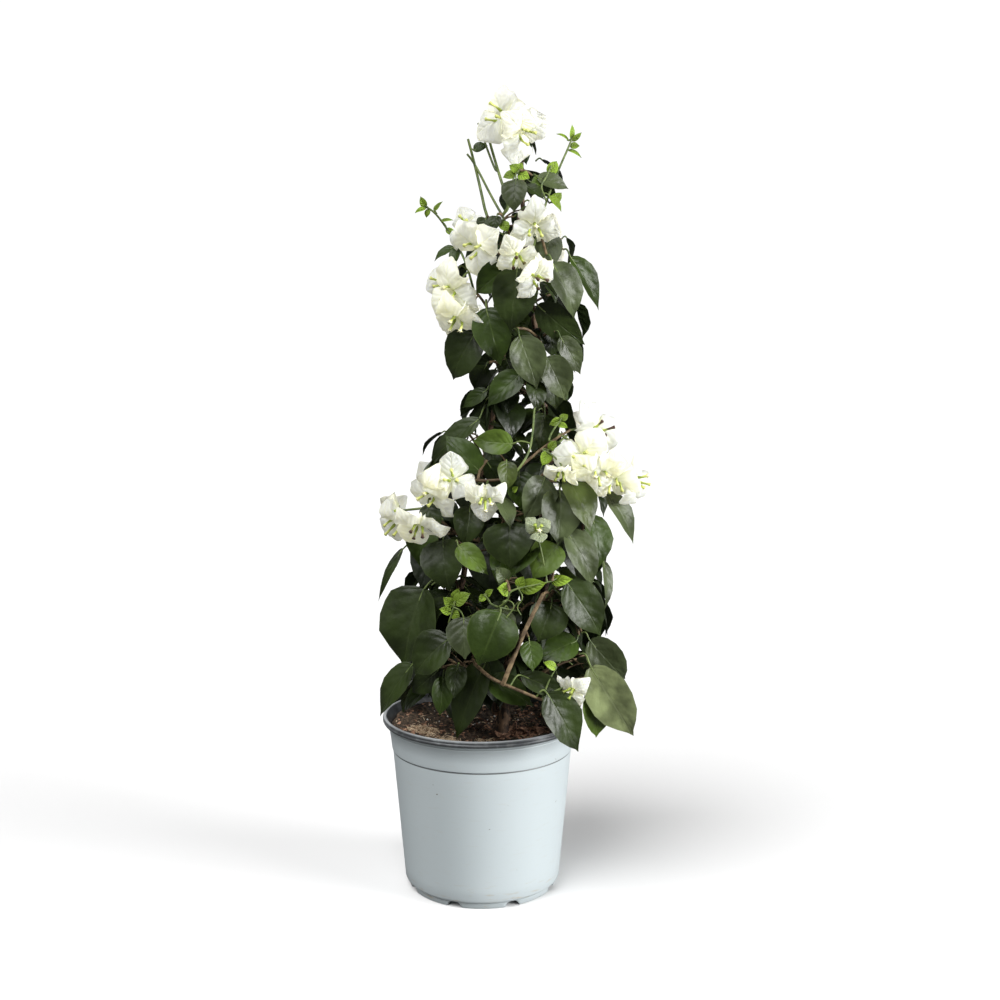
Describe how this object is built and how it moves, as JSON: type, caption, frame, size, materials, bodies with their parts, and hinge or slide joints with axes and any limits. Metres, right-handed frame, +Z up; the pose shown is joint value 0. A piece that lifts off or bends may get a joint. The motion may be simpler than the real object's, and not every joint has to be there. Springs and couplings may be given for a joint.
{
  "type": "potted flowering shrub",
  "caption": "White-flowering climbing shrub trained as a slim leaning cone, leafy from the rim up, in a round tapered nursery pot filled with soil.",
  "frame": {"origin": "centre of the pot's flat underside", "axes": "+Z up the plant; -Y towards the side with most blooms"},
  "size_m": [0.2651, 0.2639, 0.6972],
  "materials": {
    "pot": "thin pale blue-white nursery plastic, satin, with a dark grey lip",
    "soil": "damp dark peat with bark and coir fibres, wholly matt",
    "stem": "brown furrowed bark, matt",
    "foliage": "dark green satin leaves with papery ivory-white bracts"
  },
  "bodies": {
    "root": {"pot": "pot", "soil": "soil", "trunk": "stem", "leader_front": "stem", "leader_left": "stem", "leader_back": "stem", "foliage_low_1": "foliage", "foliage_low_2": "foliage", "foliage_low_3": "foliage", "foliage_low_4": "foliage", "foliage_skirt_1": "foliage", "foliage_skirt_2": "foliage", "foliage_skirt_3": "foliage", "foliage_skirt_4": "foliage", "foliage_skirt_5": "foliage", "foliage_middle_1": "foliage", "foliage_middle_2": "foliage", "foliage_middle_3": "foliage", "foliage_middle_4": "foliage", "foliage_middle_5": "foliage", "foliage_shoulder_1": "foliage", "foliage_shoulder_2": "foliage", "foliage_shoulder_3": "foliage", "foliage_shoulder_4": "foliage", "foliage_waist_1": "foliage", "foliage_waist_2": "foliage", "foliage_waist_3": "foliage", "foliage_neck_1": "foliage", "foliage_neck_2": "foliage", "foliage_neck_3": "foliage", "foliage_head_1": "foliage", "foliage_head_2": "foliage", "foliage_head_3": "foliage", "foliage_top": "foliage", "shoot_right": "foliage", "shoot_left": "foliage", "shoot_upper": "foliage"}
  },
  "joints": []
}
